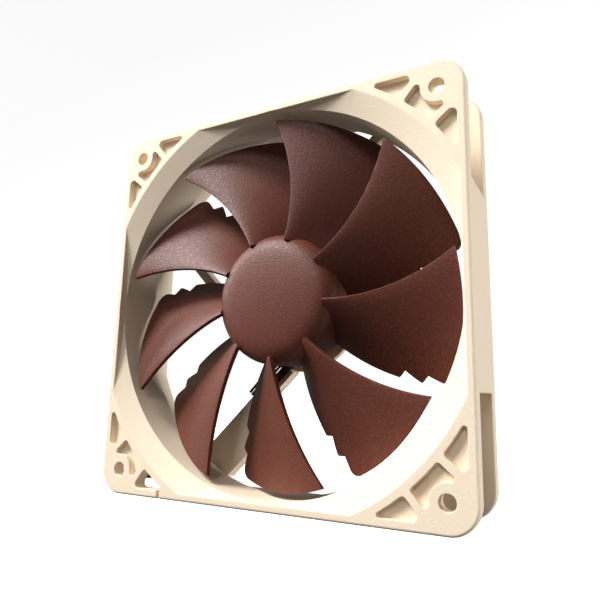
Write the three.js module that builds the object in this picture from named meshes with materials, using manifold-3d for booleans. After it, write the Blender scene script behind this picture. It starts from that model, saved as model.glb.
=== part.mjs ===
// A 120 mm case fan: a square moulded housing with a domed nine-blade impeller, the brushless
// motor inside its hub, and a three-wire lead that ends in a small plug.
// Millimetres. The fan stands on its bottom edge, +Z up, with the intake facing -Y.
// Most pieces are drawn in the fan's own frame, where x is right, y is up and z points out of
// the intake, with z = 0 in the middle of the housing's depth. One group turns that upright.

import * as THREE from 'three';
import { mergeVertices } from 'three/addons/utils/BufferGeometryUtils.js';
import Module from 'manifold-3d';

const wasm = await Module();
wasm.setup();

// ---- Driving dimensions -------------------------------------------------------------------

const SIDE = 120; // outside of the square housing
const DEPTH = 25; // intake face to exhaust face
const CORNER_RADIUS = 7.5;
const HOLE_SPACING = 105; // between screw hole centres
const HOLE_RADIUS = 2.15;
const FLANGE = 4; // thickness of the corner flanges

const BORE_RADIUS = 57.9;
const FUNNEL_RADIUS = 64.3; // where the intake funnel meets the front face
const FUNNEL_DEPTH = 2.5;
const LIP = 2.2; // wall left at the middle of each side in front of the funnel
const FLARE_RADIUS = 62.4; // where the exhaust flare meets the rear face
const FLARE_DEPTH = 9.8;
const REAR_LIP = 1.6;
const DUCT_RADIUS = 60; // outside of the duct between the flanges
const RECESS_START = 27.5; // the side recesses run from here to the corners

const POCKET_DEPTH = 2;
const POCKET_RADIUS = 66.4; // inner arc of the pockets in the front flange
const POCKET_EDGE = SIDE / 2 - 2.4;
const POCKET_B_RADIUS = 72;
const POCKET_B_HALF_ANGLE = 4.1; // degrees either side of the diagonal
const POCKET_A_ANGLE = 6; // degrees off the diagonal where the end pockets begin
const BOSS_RADIUS = 5.3; // material kept around each screw hole
const SLOT = { x: -35.7, width: 1.2 }; // cut that opens one pocket to the bottom edge

const BASE_RADIUS = 21.2;
const BASE_THICKNESS = 2.2;
const STRUT_DEPTH = 4;
const STRUT_ANGLE = 224; // degrees, the way the lead's strut runs from the middle
const STRUT_INNER = 17.4; // plain struts, distance from the axis to their near side
const STRUT_WIDTH = 3.4;
const STRUT_REACH = 60.5;
const TROUGH = { inner: 9.8, outer: 14.5, wall: 1.5, floor: 1 }; // the lead's strut
const DUCT = { start: 30, full: 42, outer: 22, rear: -9.3, front: -7.9, reach: 61.2 }; // its wide end

const HUB_RADIUS = 19.9;
const HUB_FRONT = 10.8;
const HUB_REAR = -7;
const HUB_WALL = 1.4;
const BLADES = 9;
const BLADE_TIP = 56;
const BLADE_ROOT = 17;
const BLADE_REST = 9.5; // degrees, where the first blade's leading tip stands
const LEAD_SWEEP = 14.6; // degrees the leading edge runs ahead from hub to tip
const TRAIL_ROOT = -49; // degrees from the leading tip to the trailing root
const TRAIL_TIP = -36.5;
const BLADE_THICKNESS = 1.5;
const NOTCHES = [
  { start: 41.9, end: 42.7, close: 48.4, cut: 0.09 },
  { start: 48.4, end: 49.3, close: 56, cut: 0.075 },
];

const GAP = 0.3; // clearance between neighbouring pieces
const SHAFT_RADIUS = 1.5;
const SHAFT = { rear: -10, front: 8.5 };
const GROOVE = { rear: -9.6, front: -9, radius: 1.1 };
const BOSS_INSERT = { radius: 3.2, rear: 5.6, front: 8.2 };
const TUBE = { outer: 5, inner: 4.3, rear: -11.7, front: 5, floor: 0.6 };
const BUSH = { rear: -8.7, front: 3.2 };
const YOKE = { outer: 18.2, wall: 0.8, rear: -6.6, front: 8.2 };
const MAGNET = { outer: 17.1, inner: 15.3, rear: -6.3, front: 4.7 };
const CORE = { radius: 14.7, shoe: 2, neck: 5, rear: -3.5, front: 1.5, hub: 7.5, reach: 36 };
const COIL = { start: 8, end: 11.3, width: 9.6, rear: -6.4, front: 4.4, wire: 1.5 };
const INSULATOR = 0.8;
const BOARD = { radius: 17.2, rear: -8.6, front: -7.4 };
const LABEL = { radius: 17, thickness: 0.3, recess: 0.8 };

const WIRE_RADIUS = 0.42;
const WIRE_OFFSETS = [6.9, 8, 9.1]; // distance of each bare wire from the axis
const WIRE_LEVEL = -9.45;
const SLEEVE_RADIUS = 1.5;
const SLEEVE_LEVEL = -9.7;
const DUCT_LEVEL = -10.1; // the sleeve lies lower inside the strut's wide end
const LEAD_RADIUS = 1.2; // the free lead, past the end of its sleeve
const SPARE = { x: -54.2, y: 26.1, radius: 12, turns: 3 }; // lead wound behind the housing
const PLUG = { length: 11.4, width: 7.9, height: 5.8, forward: 3.4 };

// ---- Materials ----------------------------------------------------------------------------

const material = (color, roughness, metalness = 0) =>
  new THREE.MeshStandardMaterial({ color, roughness, metalness });

const beigePlastic = () => material(0xe6d7bf, 0.55);
const brownPlastic = () => material(0x6e4236, 0.5);
const blackPlastic = () => material(0x17181a, 0.5);
const whiteNylon = () => material(0xd9d6cc, 0.6);
const steel = () => material(0xb9bcc0, 0.35, 1);
const siliconSteel = () => material(0x6f7277, 0.5, 0.9);
const brass = () => material(0xc2a05a, 0.35, 1);
const bronze = () => material(0x8f6a3c, 0.6, 0.8);
const ferrite = () => material(0x2c2a2b, 0.8);
const copper = () => material(0xa8552d, 0.35, 0.9);
const boardGreen = () => material(0x24533a, 0.5);
const paper = () => material(0xd2cfc6, 0.8);
const rubberBlack = () => material(0x0f0f10, 0.75);

// ---- Helpers ------------------------------------------------------------------------------

const radians = THREE.MathUtils.degToRad;

function solid(geometry) {
  const bare = geometry.clone();
  bare.deleteAttribute('normal');
  bare.deleteAttribute('uv');
  const merged = mergeVertices(bare, 1e-4);
  const index = merged.index.array;
  const triangles = [];
  for (let i = 0; i < index.length; i += 3) {
    const [a, b, c] = [index[i], index[i + 1], index[i + 2]];
    if (a !== b && b !== c && c !== a) triangles.push(a, b, c);
  }
  return new wasm.Manifold(new wasm.Mesh({
    numProp: 3,
    vertProperties: new Float32Array(merged.attributes.position.array),
    triVerts: new Uint32Array(triangles),
  }));
}

function geometryOf(body) {
  const mesh = body.getMesh();
  const geometry = new THREE.BufferGeometry();
  geometry.setAttribute('position', new THREE.BufferAttribute(mesh.vertProperties, 3));
  geometry.setIndex(new THREE.BufferAttribute(mesh.triVerts, 1));
  geometry.computeVertexNormals();
  return geometry;
}

// A solid turned about the z axis by some degrees.
function spun(geometry, degrees) {
  return solid(geometry.clone().rotateZ(radians(degrees)));
}

// A turned piece about the z axis, from [radius, z] points.
function turned(points, segments = 36) {
  const profile = points.map(([radius, z]) => new THREE.Vector2(radius, z));
  return new THREE.LatheGeometry(profile, segments).rotateX(Math.PI / 2);
}

// A ring of rectangular section about the z axis. Its profile closes on itself.
function ring(inner, outer, rear, front, segments = 36) {
  const corners = [[inner, rear], [outer, rear], [outer, front], [inner, front], [inner, rear]];
  return turned(corners, segments);
}

function disc(radius, rear, front, segments = 36) {
  return turned([[0, rear], [radius, rear], [radius, front], [0, front]], segments);
}

function plate(shape, rear, front, curveSegments = 8) {
  const options = { depth: front - rear, bevelEnabled: false, curveSegments };
  return new THREE.ExtrudeGeometry(shape, options).translate(0, 0, rear);
}

function box(x0, x1, y0, y1, z0, z1) {
  const geometry = new THREE.BoxGeometry(x1 - x0, y1 - y0, z1 - z0);
  return geometry.translate((x0 + x1) / 2, (y0 + y1) / 2, (z0 + z1) / 2);
}

function outline(points) {
  return new THREE.Shape(points.map(([x, y]) => new THREE.Vector2(x, y)));
}

function squareOutline(half, radius) {
  const shape = new THREE.Shape();
  shape.absarc(half - radius, half - radius, radius, 0, Math.PI / 2);
  shape.absarc(radius - half, half - radius, radius, Math.PI / 2, Math.PI);
  shape.absarc(radius - half, radius - half, radius, Math.PI, 1.5 * Math.PI);
  shape.absarc(half - radius, radius - half, radius, 1.5 * Math.PI, 2 * Math.PI);
  shape.closePath();
  return shape;
}

const polar = (radius, degrees) =>
  [radius * Math.cos(radians(degrees)), radius * Math.sin(radians(degrees))];

// Strut coordinates: s runs outwards along the lead's strut, t is the distance from the axis
// at right angles to it, towards the lower right.
function strutPoint(s, t) {
  const along = radians(STRUT_ANGLE);
  return [s * Math.cos(along) - t * Math.sin(along), s * Math.sin(along) + t * Math.cos(along)];
}

// A round tube that follows a curve through the points.
function tubeAlong(points, radius, sides, steps) {
  const curve = new THREE.CatmullRomCurve3(points.map((p) => new THREE.Vector3(...p)));
  const section = new THREE.Shape();
  section.absarc(0, 0, radius, 0, 2 * Math.PI);
  return new THREE.ExtrudeGeometry(section, {
    steps,
    extrudePath: curve,
    curveSegments: sides / 2,
  });
}

function piece(name, geometry, surface) {
  const mesh = new THREE.Mesh(geometry, surface);
  mesh.name = name;
  return mesh;
}

// ---- Housing ------------------------------------------------------------------------------

// A triangular pocket beside the top right corner, or its mirror image in the diagonal.
function endPocket(mirrored) {
  const start = 45 + POCKET_A_ANGLE;
  const end = THREE.MathUtils.radToDeg(Math.asin(POCKET_EDGE / POCKET_RADIUS));
  const shape = new THREE.Shape();
  shape.absarc(0, 0, POCKET_RADIUS, radians(start), radians(end));
  shape.lineTo(POCKET_EDGE / Math.tan(radians(start)), POCKET_EDGE);
  const points = shape.getPoints(4).map((p) => (mirrored ? [p.y, p.x] : [p.x, p.y]));
  return outline(points);
}

function middlePocket(floor, reach, degrees) {
  const low = radians(45 - POCKET_B_HALF_ANGLE);
  const high = radians(45 + POCKET_B_HALF_ANGLE);
  const shape = new THREE.Shape();
  shape.absarc(0, 0, POCKET_RADIUS, low, high);
  shape.absarc(0, 0, POCKET_B_RADIUS, high, low, true);
  const hole = HOLE_SPACING / 2;
  const boss = disc(BOSS_RADIUS, floor - 1, reach + 1, 24).translate(hole, hole, 0);
  return spun(plate(shape, floor, reach, 4), degrees).subtract(spun(boss, degrees));
}

function pocketCuts() {
  const front = DEPTH / 2;
  const floor = front - POCKET_DEPTH;
  const reach = front + 1;
  const through = front - FLANGE - 1;
  const cuts = [];
  for (let corner = 0; corner < 4; corner += 1) {
    const degrees = 90 * corner;
    for (const mirrored of [false, true]) {
      const slotted = corner === 2 && !mirrored;
      const bottom = slotted ? through : floor;
      cuts.push(spun(plate(endPocket(mirrored), bottom, reach), degrees));
    }
    cuts.push(middlePocket(floor, reach, degrees));
  }
  const left = SLOT.x - SLOT.width / 2;
  const right = SLOT.x + SLOT.width / 2;
  cuts.push(solid(box(left, right, -SIDE / 2 - 1, 1 - POCKET_EDGE, through, reach)));
  return cuts;
}

function screwHoles() {
  const hole = HOLE_SPACING / 2;
  const holes = [];
  for (const x of [-hole, hole]) {
    for (const y of [-hole, hole]) {
      holes.push(solid(disc(HOLE_RADIUS, -DEPTH, DEPTH, 24).translate(x, y, 0)));
    }
  }
  return holes;
}

// The four corners are open between the flanges, outside the duct.
function cornerRecesses() {
  const flange = DEPTH / 2 - FLANGE;
  const flareStart = FLARE_DEPTH - DEPTH / 2;
  const duct = solid(turned([
    [0, -flange - 1], [FLARE_RADIUS + 0.4, -flange - 1], [FLARE_RADIUS, -flange],
    [DUCT_RADIUS, flareStart], [DUCT_RADIUS, flange + 1], [0, flange + 1],
  ], 72));
  const outside = SIDE / 2 + 1;
  const block = box(RECESS_START, outside, RECESS_START, outside, -flange, flange);
  return [0, 90, 180, 270].map((degrees) => spun(block, degrees).subtract(duct));
}

// Funnel and flare are cones, held back from the sides so that a thin lip is left.
function mouths() {
  const face = DEPTH / 2;
  const funnel = turned([
    [0, face - FUNNEL_DEPTH - 1], [BORE_RADIUS, face - FUNNEL_DEPTH - 1],
    [BORE_RADIUS, face - FUNNEL_DEPTH], [FUNNEL_RADIUS, face], [FUNNEL_RADIUS, face + 1],
    [0, face + 1],
  ], 72);
  const flare = turned([
    [0, -face - 1], [FLARE_RADIUS, -face - 1], [FLARE_RADIUS, -face],
    [BORE_RADIUS, FLARE_DEPTH - face], [BORE_RADIUS, FLARE_DEPTH - face + 1],
    [0, FLARE_DEPTH - face + 1],
  ], 72);
  const front = SIDE / 2 - LIP;
  const rear = SIDE / 2 - REAR_LIP;
  return [
    solid(funnel).intersect(solid(box(-front, front, -front, front, 0, DEPTH))),
    solid(flare).intersect(solid(box(-rear, rear, -rear, rear, -DEPTH, 0))),
  ];
}

function plainStruts() {
  const rear = -DEPTH / 2;
  const corners = [
    strutPoint(0, STRUT_INNER), strutPoint(STRUT_REACH, STRUT_INNER),
    strutPoint(STRUT_REACH, STRUT_INNER + STRUT_WIDTH), strutPoint(0, STRUT_INNER + STRUT_WIDTH),
  ];
  const bar = plate(outline(corners), rear, rear + STRUT_DEPTH);
  return [90, 180, 270].map((degrees) => spun(bar, degrees));
}

// The lead's strut is a trough that opens into a wide, flat duct where it meets the housing.
function leadStrut() {
  const rear = -DEPTH / 2;
  const { inner, outer, wall, floor } = TROUGH;
  const start = 4;
  // The far side, a distance back from the outermost line, from the housing in to the motor.
  const farSide = (back) => [
    strutPoint(STRUT_REACH, DUCT.outer - back), strutPoint(DUCT.full, DUCT.outer - back),
    strutPoint(DUCT.start, outer - back), strutPoint(start, outer - back),
  ];
  const bottom = [...farSide(0), strutPoint(start, inner), strutPoint(STRUT_REACH, inner)];
  const side = [...farSide(0), ...farSide(wall).reverse()];
  const lid = [
    ...farSide(0).slice(0, 3), strutPoint(DUCT.start, inner), strutPoint(STRUT_REACH, inner),
  ];
  const cover = solid(plate(outline(lid), DUCT.rear, DUCT.front));
  return [
    solid(plate(outline(bottom), rear, rear + floor)),
    solid(plate(outline(side), rear, rear + STRUT_DEPTH)),
    cover.intersect(solid(disc(DUCT.reach, DUCT.rear - 1, DUCT.front + 1, 64))),
  ];
}

function motorBase() {
  const rear = -DEPTH / 2;
  const top = rear + BASE_THICKNESS;
  const base = solid(disc(BASE_RADIUS, rear, top, 64));
  const label = solid(disc(LABEL.radius + GAP, rear - 1, rear + LABEL.recess, 48));
  const bore = solid(disc(TUBE.outer + GAP, rear - 1, top + 1, 32));
  return base.subtract(label).subtract(bore);
}

function housing() {
  const cuts = [...pocketCuts(), ...screwHoles(), ...cornerRecesses(), ...mouths()];
  const square = squareOutline(SIDE / 2, CORNER_RADIUS);
  let body = solid(plate(square, -DEPTH / 2, DEPTH / 2, 6));
  body = body.subtract(solid(disc(BORE_RADIUS, -DEPTH, DEPTH, 72)));
  for (const cut of cuts) body = body.subtract(cut);
  for (const strut of [...plainStruts(), ...leadStrut()]) body = body.add(strut);
  const motorSpace = solid(disc(BASE_RADIUS - 1, -DEPTH, DEPTH, 64));
  const leadSpace = solid(tubeAlong(leadPath(), SLEEVE_RADIUS + GAP, 8, 18));
  body = body.subtract(motorSpace).add(motorBase()).subtract(leadSpace);
  return piece('housing', geometryOf(body), beigePlastic());
}

// ---- Impeller -----------------------------------------------------------------------------

// A point of a blade's middle surface, as [radius, degrees, z]. The chord runs from 0 at the
// leading edge to 1 at the trailing edge.
function bladePoint(radius, chord) {
  const span = (radius - 18.5) / (BLADE_TIP - 18.5);
  const out = Math.max(span, 0);
  const lead = LEAD_SWEEP * (out ** 1.18 - 1);
  const trail = TRAIL_ROOT + (TRAIL_TIP - TRAIL_ROOT) * out ** 1.4;
  const leadZ = 7.8 + 5 * (span - 0.52) ** 2;
  const trailZ = -6.6 + 1.2 * out ** 5;
  const camber = chord + 0.35 * (chord * chord - chord);
  return [radius, lead + (trail - lead) * chord, leadZ + (trailZ - leadZ) * camber];
}

// How far along the chord the blade reaches at a radius. The two notches cut it back.
function chordEnd(radius) {
  for (const { start, end, close, cut } of NOTCHES) {
    if (radius > start && radius <= end) return 1 - cut * ((radius - start) / (end - start));
    if (radius > end && radius < close) return 1 - cut * ((close - radius) / (close - end));
  }
  return 1;
}

function bladeGeometry() {
  const [inner, outer] = NOTCHES;
  const radii = [BLADE_ROOT, 20, 24.5, 30, 36, inner.start, inner.end, 45.5,
    outer.start, outer.end, 52.6, BLADE_TIP];
  const chordSteps = 5;
  const geometry = new THREE.BoxGeometry(1, 1, 1, radii.length - 1, chordSteps, 1);
  const position = geometry.attributes.position;
  for (let i = 0; i < position.count; i += 1) {
    const radius = radii[Math.round((position.getX(i) + 0.5) * (radii.length - 1))];
    const share = 0.5 - position.getY(i);
    const chord = share * chordEnd(radius);
    const [, degrees, z] = bladePoint(radius, chord);
    const [, ahead, zAhead] = bladePoint(radius, chord + 0.01);
    const along = new THREE.Vector2(radians(ahead - degrees) * radius, zAhead - z).normalize();
    const taper = 0.4 + 0.6 * Math.sin(Math.PI * share ** 0.7);
    const half = position.getZ(i) * BLADE_THICKNESS * taper;
    const [x, y] = polar(radius, degrees + THREE.MathUtils.radToDeg((along.y * half) / radius));
    position.setXYZ(i, x, y, z - along.x * half);
  }
  return geometry;
}

function hubOutline() {
  return [
    [0, HUB_REAR], [HUB_RADIUS, HUB_REAR], [HUB_RADIUS, 5], [19.6, 6.6], [18.8, 7.9], [17.4, 9],
    [14.6, 9.9], [9, 10.5], [0, HUB_FRONT],
  ];
}

function impeller() {
  const blade = bladeGeometry();
  let body = solid(turned(hubOutline(), 45));
  for (let i = 0; i < BLADES; i += 1) {
    body = body.add(spun(blade, BLADE_REST + (360 / BLADES) * i));
  }
  const inside = HUB_RADIUS - HUB_WALL;
  const socket = BOSS_INSERT.radius + GAP;
  const cavity = turned([
    [0, HUB_REAR - 1], [inside, HUB_REAR - 1], [inside, 5.4], [16.2, 8.5], [socket + 1.3, 8.5],
    [socket + 1.3, BOSS_INSERT.rear], [socket, BOSS_INSERT.rear], [socket, 8.8], [0, 8.8],
  ], 45);
  return piece('impeller', geometryOf(body.subtract(solid(cavity))), brownPlastic());
}

// ---- Motor --------------------------------------------------------------------------------

function rotorPieces() {
  const top = YOKE.front;
  const side = YOKE.outer - YOKE.wall;
  const eye = BOSS_INSERT.radius + 1.9;
  const yoke = turned([
    [side, YOKE.rear], [YOKE.outer, YOKE.rear], [YOKE.outer, 5.2], [15.6, top], [eye, top],
    [eye, top - YOKE.wall], [15.2, top - YOKE.wall], [side, 5], [side, YOKE.rear],
  ]);
  const shaft = turned([
    [0, SHAFT.rear], [SHAFT_RADIUS, SHAFT.rear], [SHAFT_RADIUS, GROOVE.rear],
    [GROOVE.radius, GROOVE.rear], [GROOVE.radius, GROOVE.front], [SHAFT_RADIUS, GROOVE.front],
    [SHAFT_RADIUS, SHAFT.front], [0, SHAFT.front],
  ], 24);
  const insert = BOSS_INSERT;
  const clip = ring(GROOVE.radius + 0.2, 2.6, GROOVE.rear + 0.15, GROOVE.front - 0.15, 24);
  return [
    piece('rotor_yoke', yoke, steel()),
    piece('magnet_ring', ring(MAGNET.inner, MAGNET.outer, MAGNET.rear, MAGNET.front), ferrite()),
    piece('shaft', shaft, steel()),
    piece('shaft_insert',
      ring(SHAFT_RADIUS + GAP, insert.radius, insert.rear, insert.front, 32), brass()),
    piece('shaft_clip', clip, whiteNylon()),
  ];
}

function bearingPieces() {
  const tube = turned([
    [0, TUBE.rear], [TUBE.outer, TUBE.rear], [TUBE.outer, TUBE.front], [TUBE.inner, TUBE.front],
    [TUBE.inner, TUBE.rear + TUBE.floor], [0, TUBE.rear + TUBE.floor],
  ], 32);
  const clear = SHAFT_RADIUS + GAP;
  const fit = TUBE.inner - GAP;
  const platform = TUBE.rear + TUBE.floor + GAP;
  return [
    piece('bearing_tube', tube, brass()),
    piece('bearing_bush', ring(clear, fit, BUSH.rear, BUSH.front, 32), bronze()),
    piece('oil_seal', ring(clear, fit, BUSH.front + GAP, BUSH.front + 1.1, 32), whiteNylon()),
    piece('thrust_plate', disc(fit, platform, platform + 0.5, 32), steel()),
  ];
}

// One quarter of the stator: a neck and a pole shoe, repeated about the axis.
function poleOutline() {
  const inner = CORE.radius - CORE.shoe;
  const half = CORE.neck / 2;
  const neck = Math.asin(half / inner);
  const reach = radians(CORE.reach);
  const shape = new THREE.Shape();
  shape.moveTo(CORE.hub - 1.5, -half);
  shape.absarc(0, 0, inner, -neck, -reach, true);
  shape.absarc(0, 0, CORE.radius, -reach, reach);
  shape.absarc(0, 0, inner, reach, neck, true);
  shape.lineTo(CORE.hub - 1.5, half);
  return shape;
}

function statorStack(rear, front) {
  let body = solid(ring(TUBE.outer + GAP, CORE.hub, rear, front, 32));
  const pole = plate(poleOutline(), rear, front, 4);
  for (const degrees of [45, 135, 225, 315]) body = body.add(spun(pole, degrees));
  return geometryOf(body);
}

function windings() {
  const { start, end, width, rear, front, wire } = COIL;
  const neck = CORE.neck / 2 + GAP;
  const outside = box(start, end, -width / 2, width / 2, rear, front);
  const opening = box(start - 1, end + 1, -neck, neck, rear + wire, front - wire);
  return [45, 135, 225, 315].map((degrees, i) => {
    const coil = spun(outside, degrees).subtract(spun(opening, degrees));
    return piece(`winding_${i + 1}`, geometryOf(coil), copper());
  });
}

function statorPieces() {
  const rearTop = CORE.rear - GAP;
  const frontFloor = CORE.front + GAP;
  return [
    piece('stator_core', statorStack(CORE.rear, CORE.front), siliconSteel()),
    piece('insulator_rear', statorStack(rearTop - INSULATOR, rearTop), whiteNylon()),
    piece('insulator_front', statorStack(frontFloor, frontFloor + INSULATOR), whiteNylon()),
    ...windings(),
  ];
}

function boardPieces() {
  const under = BOARD.rear - GAP;
  const over = BOARD.front + GAP;
  const board = ring(TUBE.outer + GAP, BOARD.radius, BOARD.rear, BOARD.front);
  const capacitor = disc(1.6, under - 1.1, under, 24).translate(-9, 9, 0);
  return [
    piece('circuit_board', board, boardGreen()),
    piece('hall_sensor', box(12.6, 14.4, -1.6, 1.6, over, over + 1.2), blackPlastic()),
    piece('driver_chip', box(8, 12.5, -2.4, 2.4, under - 1, under), blackPlastic()),
    piece('capacitor', capacitor, blackPlastic()),
  ];
}

function rearLabel() {
  const rear = -DEPTH / 2 + LABEL.recess - GAP - LABEL.thickness;
  return piece('rear_label', disc(LABEL.radius, rear, rear + LABEL.thickness), paper());
}

// ---- Lead ---------------------------------------------------------------------------------

// The sleeved lead lies in the strut's trough, goes through the housing at the corner and
// leaves between the flanges, below the screw hole, towards the left.
function leadPath() {
  const trough = [[14.4, 11.4], [22, 11.4]].map(([s, t]) => [...strutPoint(s, t), SLEEVE_LEVEL]);
  const duct = [[30, 11.8], [37, 13.4], [44, 14.6], [52, 15], [58, 15]];
  return [
    ...trough, ...duct.map(([s, t]) => [...strutPoint(s, t), DUCT_LEVEL]),
    [-36.5, -53.9, -8.4], [-42, -56, -7], [-48, -56.4, -6.2], [-54, -56.3, -6],
    [-SIDE / 2, -56.2, -6],
  ];
}

function leadInside() {
  const wires = WIRE_OFFSETS.map((offset, i) => {
    const route = [[14.2, offset, 0], [20, offset, 0], [26, offset, 0.3], [33, offset, 0.8]];
    const path = route.map(([s, t, drop]) => [...strutPoint(s, t), WIRE_LEVEL - drop]);
    return piece(`motor_wire_${i + 1}`, tubeAlong(path, WIRE_RADIUS, 8, 6), rubberBlack());
  });
  const sleeve = tubeAlong(leadPath(), SLEEVE_RADIUS, 8, 18);
  return [...wires, piece('lead_sleeve', sleeve, rubberBlack())];
}

// The free lead lies on the floor behind the housing, wound into a small coil, and ends in its
// plug inside the coil. These pieces are placed in the standing fan's own frame.
function leadOutside() {
  const level = LEAD_RADIUS + 0.05;
  const run = [
    [-SIDE / 2 - GAP, 6, SIDE / 2 - 56.2], [-62, 6.1, 3.6], [-64.4, 7.5, 2.9], [-65.9, 9.9, 2.1],
    [-66.2, 13, 1.5], [-66.2, 17.4, level],
  ];
  const inner = SPARE.radius - LEAD_RADIUS;
  const outer = SPARE.radius + LEAD_RADIUS;
  const coil = ring(inner, outer, 0, 2 * LEAD_RADIUS * SPARE.turns);
  return [
    piece('lead_run', tubeAlong(run, LEAD_RADIUS, 8, 6), rubberBlack()),
    piece('lead_coil', coil.translate(SPARE.x, SPARE.y, 0), rubberBlack()),
    ...plugPieces(),
  ];
}

function plugPieces() {
  const { length, width, height, forward } = PLUG;
  const rear = SPARE.x + forward - length / 2;
  const front = rear + length;
  const middle = height / 2;
  const along = (y, half, from, to) =>
    box(from, to, y - half, y + half, middle - half, middle + half);
  let body = solid(box(rear, front, SPARE.y - width / 2, SPARE.y + width / 2, 0, height));
  const contacts = [-2.54, 0, 2.54].map((offset, i) => {
    const y = SPARE.y + offset;
    body = body.subtract(solid(along(y, 0.85, rear - 1, front + 1)));
    return piece(`plug_contact_${i + 1}`, along(y, 0.5, rear + 1.5, front - 1.5), brass());
  });
  return [piece('plug_housing', geometryOf(body), blackPlastic()), ...contacts];
}

// ---- Assembly -----------------------------------------------------------------------------

const upright = new THREE.Group();
upright.rotation.x = Math.PI / 2;
upright.position.z = SIDE / 2;
upright.add(housing(), impeller(), ...rotorPieces(), ...bearingPieces(), ...statorPieces(),
  ...boardPieces(), rearLabel(), ...leadInside());

const fan = new THREE.Group();
fan.add(upright, ...leadOutside());

export default fan;
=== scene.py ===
"""A case fan: moulded square housing, bladed impeller, motor mount, and sleeved lead.

Lengths in the making functions are millimetres about the fan's axis: x to the right, y towards
the exhaust, up from the axis. The fan's PropertyGroups hold metres.
"""

import math
from contextlib import contextmanager

import bmesh
import bpy
from bpy.props import FloatProperty, FloatVectorProperty, IntProperty, PointerProperty
from mathutils import Matrix, Vector


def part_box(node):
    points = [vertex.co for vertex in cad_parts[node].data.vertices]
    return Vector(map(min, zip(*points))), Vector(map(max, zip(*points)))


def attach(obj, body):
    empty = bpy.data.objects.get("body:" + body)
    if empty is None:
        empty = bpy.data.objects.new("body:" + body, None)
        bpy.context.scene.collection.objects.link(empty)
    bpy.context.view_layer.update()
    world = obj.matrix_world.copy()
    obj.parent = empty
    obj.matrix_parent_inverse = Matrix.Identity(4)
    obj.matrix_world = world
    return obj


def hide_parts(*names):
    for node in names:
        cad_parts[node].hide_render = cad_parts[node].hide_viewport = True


bl_info = {
    "name": "Case Fan",
    "version": (1, 0, 0),
    "blender": (4, 5, 0),
    "location": "3D View > Sidebar > Case Fan",
    "description": "Makes the visible surfaces and finishes of a 120 mm case fan",
    "category": "Object",
}

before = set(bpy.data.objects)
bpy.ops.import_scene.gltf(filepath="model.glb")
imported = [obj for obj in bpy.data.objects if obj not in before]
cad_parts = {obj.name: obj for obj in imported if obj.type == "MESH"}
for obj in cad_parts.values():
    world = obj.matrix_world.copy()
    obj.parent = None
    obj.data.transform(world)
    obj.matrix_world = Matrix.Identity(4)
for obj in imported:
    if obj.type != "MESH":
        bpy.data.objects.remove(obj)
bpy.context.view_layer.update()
HOUSING_LOW, HOUSING_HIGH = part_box("housing")
MM = 0.001
AXIS_HEIGHT = (HOUSING_LOW[2] + HOUSING_HIGH[2]) / 2
HALF_SIDE = (HOUSING_HIGH[0] - HOUSING_LOW[0]) / 2 / MM
HALF_DEPTH = (HOUSING_HIGH[1] - HOUSING_LOW[1]) / 2 / MM
FACE = HALF_DEPTH + 1
LEAD_STRUT_ANGLE = 224
DEPTH_DIRECTION = Vector((0, 1, 0))
SHARP_EDGE = 0.3  # radians between an edge's two faces


# Sizes and colours ----------------------------------------------------------------------


class FanSizes(bpy.types.PropertyGroup):
    """Sizes of the fan's moulded pieces and lead."""

    corner_radius: FloatProperty(
        name="Corner Radius", description="Radius of the housing's outside corners",
        default=0.0075, unit="LENGTH",
    )
    edge_radius: FloatProperty(
        name="Edge Radius", description="Rounding along the edges of the flanges",
        default=0.0008, unit="LENGTH",
    )
    flange: FloatProperty(
        name="Flange Thickness", description="Thickness of the housing's corner flanges",
        default=0.004, unit="LENGTH",
    )
    bore_radius: FloatProperty(
        name="Bore Radius", description="Radius of the air duct's narrowest part",
        default=0.0579, unit="LENGTH",
    )
    hole_radius: FloatProperty(
        name="Screw Hole Radius", description="Radius of the holes in the corners",
        default=0.00215, unit="LENGTH",
    )
    pocket_depth: FloatProperty(
        name="Pocket Depth", description="Depth of the pockets in the front corners",
        default=0.002, unit="LENGTH",
    )
    blade_count: IntProperty(
        name="Blades", description="Number of blades on the impeller", default=9, min=2,
    )
    blade_rest: FloatProperty(
        name="First Blade", description="Angle of the first blade's leading tip",
        default=math.radians(9.5), subtype="ANGLE",
    )
    blade_thickness: FloatProperty(
        name="Blade Thickness", description="Thickness of a blade away from its edges",
        default=0.0014, unit="LENGTH",
    )
    sleeve_radius: FloatProperty(
        name="Sleeve Radius", description="Radius of the lead's sleeve inside the housing",
        default=0.0015, unit="LENGTH",
    )
    lead_radius: FloatProperty(
        name="Lead Radius", description="Radius of the free lead",
        default=0.0012, unit="LENGTH",
    )
    lead_length: FloatProperty(
        name="Lead Length", description="Length stated for the free lead, which its route comes to",
        default=0.246, unit="LENGTH",
    )


class FanColours(bpy.types.PropertyGroup):
    """Colours of the fan's plastics and lead."""

    housing: FloatVectorProperty(
        name="Housing", description="Colour of the housing's plastic",
        default=(0.82, 0.69, 0.525), subtype="COLOR", min=0, max=1,
    )
    impeller: FloatVectorProperty(
        name="Impeller", description="Colour of the impeller's plastic",
        default=(0.112, 0.0315, 0.0195), subtype="COLOR", min=0, max=1,
    )
    lead: FloatVectorProperty(
        name="Lead", description="Colour of the lead's sleeve and wires",
        default=(0.012, 0.012, 0.013), subtype="COLOR", min=0, max=1,
    )
    floor: FloatVectorProperty(
        name="Floor", description="Colour of the floor and backdrop",
        default=(0.86, 0.86, 0.86), subtype="COLOR", min=0, max=1,
    )


# Shader nodes ---------------------------------------------------------------------------


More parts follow.
